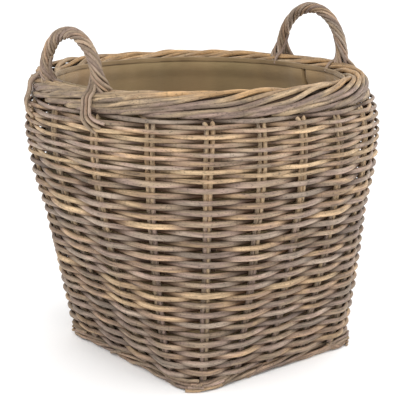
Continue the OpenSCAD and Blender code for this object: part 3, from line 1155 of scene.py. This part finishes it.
def cloth_object(name, points, uv, closed=False, material=lining_cloth):
    """A sheet over a grid of points (rows up, columns round), with its cut's coordinates as UVs."""
    rows, columns = points.shape[:2]
    index = np.arange(rows * columns).reshape(rows, columns)
    if closed:
        index = np.hstack([index, index[:, :1]])
    quads = np.stack([index[:-1, :-1], index[:-1, 1:], index[1:, 1:], index[1:, :-1]], axis=-1)
    quads = quads.reshape(-1, 4)[:, ::-1]
    mesh = bpy.data.meshes.new(name)
    mesh.from_pydata(points.reshape(-1, 3).tolist(), [], quads.tolist())
    layer = mesh.uv_layers.new(name="cloth")
    corners = np.empty(len(mesh.loops), dtype=np.int32)
    mesh.loops.foreach_get("vertex_index", corners)
    layer.data.foreach_set("uv", uv.reshape(-1, 2)[corners].ravel())
    mesh.shade_smooth()
    mesh.materials.append(material)
    piece = bpy.data.objects.new(name, mesh)
    bpy.context.scene.collection.objects.link(piece)
    thickness = piece.modifiers.new("thickness", "SOLIDIFY")
    thickness.thickness = CLOTH_THICKNESS
    thickness.offset = -1.0
    return piece


def waves(turn, count, phase=0.0):
    """That many waves round the basket."""
    return np.sin(2 * math.pi * (count * turn + phase))


def folds(turn, z, top):
    """How far the gathered cloth stands in from its smooth surface."""
    near_top = smooth_step((z - (top - DRAPE_OVER)) / DRAPE_OVER)
    slow = waves(turn, 9, 0.3) + waves(turn, 14, 0.7 + 1.5 * z)
    drape = waves(turn, 31, 0.1 * np.sin(40 * z)) + 0.6 * waves(turn, 47)
    return FOLD_DEPTH * slow + near_top * DRAPE_DEPTH * drape


def hung_depth(turn, z, bottom, top):
    """How far in from the wall's face the cloth hangs, folds and all."""
    loose = smooth_step(np.minimum(z - bottom, top - z) / SLACK_OVER)
    return cloth_depth(z) + (folds(turn, z, top) + CLOTH_SLACK) * loose


def lining_side(name, start, bottom, top):
    """Half of the lining's side, from seam to seam, turned in towards the wall at both."""
    upper = np.linspace(LINING_LEAN_Z, top, 26)[1:]
    z = np.concatenate([np.linspace(bottom, LINING_LEAN_Z, 50), upper])
    near = np.linspace(0, 4 * SEAM_FOLD, 16)
    far = np.linspace(near[-1], 0.5 - near[-1], 240)[1:-1]
    share = np.concatenate([near, far, 0.5 - near[::-1]])
    turn = start + SEAM_GAP + share * (1 - 4 * SEAM_GAP)
    turns, levels = np.meshgrid(turn, z)
    to_seam = np.minimum(turns - turn[0], turn[-1] - turns)
    smooth = cloth_depth(levels)
    hung = hung_depth(turns, levels, bottom, top)
    opened = smooth_step((levels - SEAM_OPENS_Z) / SEAM_OPENS_OVER)
    fold = SEAM_SUNK * smooth_step(1 - to_seam / SEAM_FOLD) * opened
    depth = smooth + (hung - smooth) * smooth_step(to_seam / SEAM_FLAT) - fold
    points = wall_point(turns, levels, depth)

    steps = np.linalg.norm(np.diff(points, axis=1), axis=2)
    across = np.hstack([np.zeros((len(z), 1)), np.cumsum(steps, axis=1)])
    up = np.linalg.norm(np.diff(points, axis=0), axis=2)
    length = np.vstack([np.zeros((1, len(turn))), np.cumsum(up, axis=0)])
    piece = cloth_object(f"lining_{name}_cloth", points, np.stack([across, length], axis=-1))
    hand_over(piece, "lining_cloth", f"lining_{name}")


def lining_hem(bottom, top):
    """A strip folded over the lining's top edge: up its inside, over it and down its outside."""
    hem_low = heights("lining_hem")[0]
    turn = np.linspace(0, 1, 520, endpoint=False)
    rise = hem_low + (top - hem_low) * np.array(HEM_RISE)
    down = rise[::-1][:4]
    profile_z = np.concatenate([rise, [top + HEM_CREST_UP], down])
    profile_in = np.array([*HEM_INSIDE, HEM_CREST_IN, *(len(down) * [HEM_OUTSIDE])])
    turns, levels = np.meshgrid(turn, profile_z)
    depth = hung_depth(turns, np.minimum(levels, top), bottom, top)
    points = wall_point(turns, levels, depth + profile_in[:, None])
    girth = np.linalg.norm(np.diff(points[0], axis=0), axis=1).sum()
    uv = np.stack([turns * girth, levels - hem_low], axis=-1)
    hem = cloth_object("lining_hem_cloth", points, uv, closed=True, material=hem_cloth)
    hand_over(hem, "lining_cloth", "lining_hem")


def lining_base():
    """The lining's bottom, laid on the mat with slight waves in it."""
    low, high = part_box("lining_base")
    share = np.linspace(0.002, 1, 26)
    turns, shares = np.meshgrid(np.linspace(0, 1, 160, endpoint=False), share)
    edge = wall_point(turns, np.full(turns.shape, low[2]), np.full(turns.shape, LINING_DEPTH))
    middle = (np.array(low) + np.array(high)) / 2
    points = middle + (edge - middle) * shares[..., None]
    ripple = BASE_RIPPLE * np.sin(37 * points[..., 0]) * np.sin(29 * points[..., 1])
    points[..., 2] = high[2] - CLOTH_THICKNESS / 2 + ripple
    piece = cloth_object("lining_base_cloth", points, points[..., :2].copy(), closed=True)
    hand_over(piece, "lining_cloth", "lining_base")


lining_bottom, lining_top = heights("lining_back")
lining_side("back", SEAM_TURN, lining_bottom, lining_top)
lining_side("front", SEAM_TURN + 0.5, lining_bottom, lining_top)
lining_hem(lining_bottom, lining_top)
lining_base()


# ---- studio ----

def area_light(name, place, aim, size, power):
    """A soft square light."""
    light = bpy.data.lights.new(name, "AREA")
    light.size = size
    light.energy = power
    lamp = bpy.data.objects.new(name, light)
    lamp.location = place
    lamp.rotation_mode = "QUATERNION"
    lamp.rotation_quaternion = (Vector(aim) - Vector(place)).to_track_quat("-Z", "Y")
    bpy.context.scene.collection.objects.link(lamp)


def studio():
    """A pale floor, a white surround and two soft lights."""
    scene = bpy.context.scene
    bpy.ops.mesh.primitive_plane_add(size=14)
    floor = bpy.context.object
    floor.name = "floor"
    material, tree = new_material("floor")
    shader = node(tree, "ShaderNodeBsdfDiffuse", {"Color": (0.985, 0.985, 0.985, 1.0)})
    node(tree, "ShaderNodeOutputMaterial", {"Surface": shader.outputs[0]})
    floor.data.materials.append(material)
    scene.world = bpy.data.worlds.new("studio")
    scene.world.use_nodes = True
    background = scene.world.node_tree.nodes["Background"]
    background.inputs["Color"].default_value = (1.0, 1.0, 1.0, 1.0)
    background.inputs["Strength"].default_value = 1.22
    scene.view_settings.view_transform = "Standard"
    basket_middle = (0, 0, 0.25)
    area_light("key", (-1.6, -2.2, 2.6), basket_middle, size=2.6, power=50)
    area_light("fill", (2.4, -1.2, 1.6), basket_middle, size=2.0, power=22)


def camera():
    """The photograph's view: the near corner between -X and -Y, from a little above the rim."""
    azimuth, elevation, roll = (math.radians(a) for a in (-39.2, 14.31, 0.34))
    distance = 1.8
    aim = Vector((-0.0047, 0.002, 0.23))
    back = Vector(
        (
            math.sin(azimuth) * math.cos(elevation),
            -math.cos(azimuth) * math.cos(elevation),
            math.sin(elevation),
        )
    )
    data = bpy.data.cameras.new("camera")
    data.sensor_width = 36
    data.lens = 99.68
    data.shift_x = 0.00425
    data.shift_y = 0.014
    data.clip_start = 0.05
    data.clip_end = 50
    view = bpy.data.objects.new("camera", data)
    view.location = aim + back * distance
    view.rotation_mode = "QUATERNION"
    view.rotation_quaternion = (-back).to_track_quat("-Z", "Y") @ Quaternion((0, 0, 1), roll)
    bpy.context.scene.collection.objects.link(view)
    bpy.context.scene.camera = view


studio()
camera()
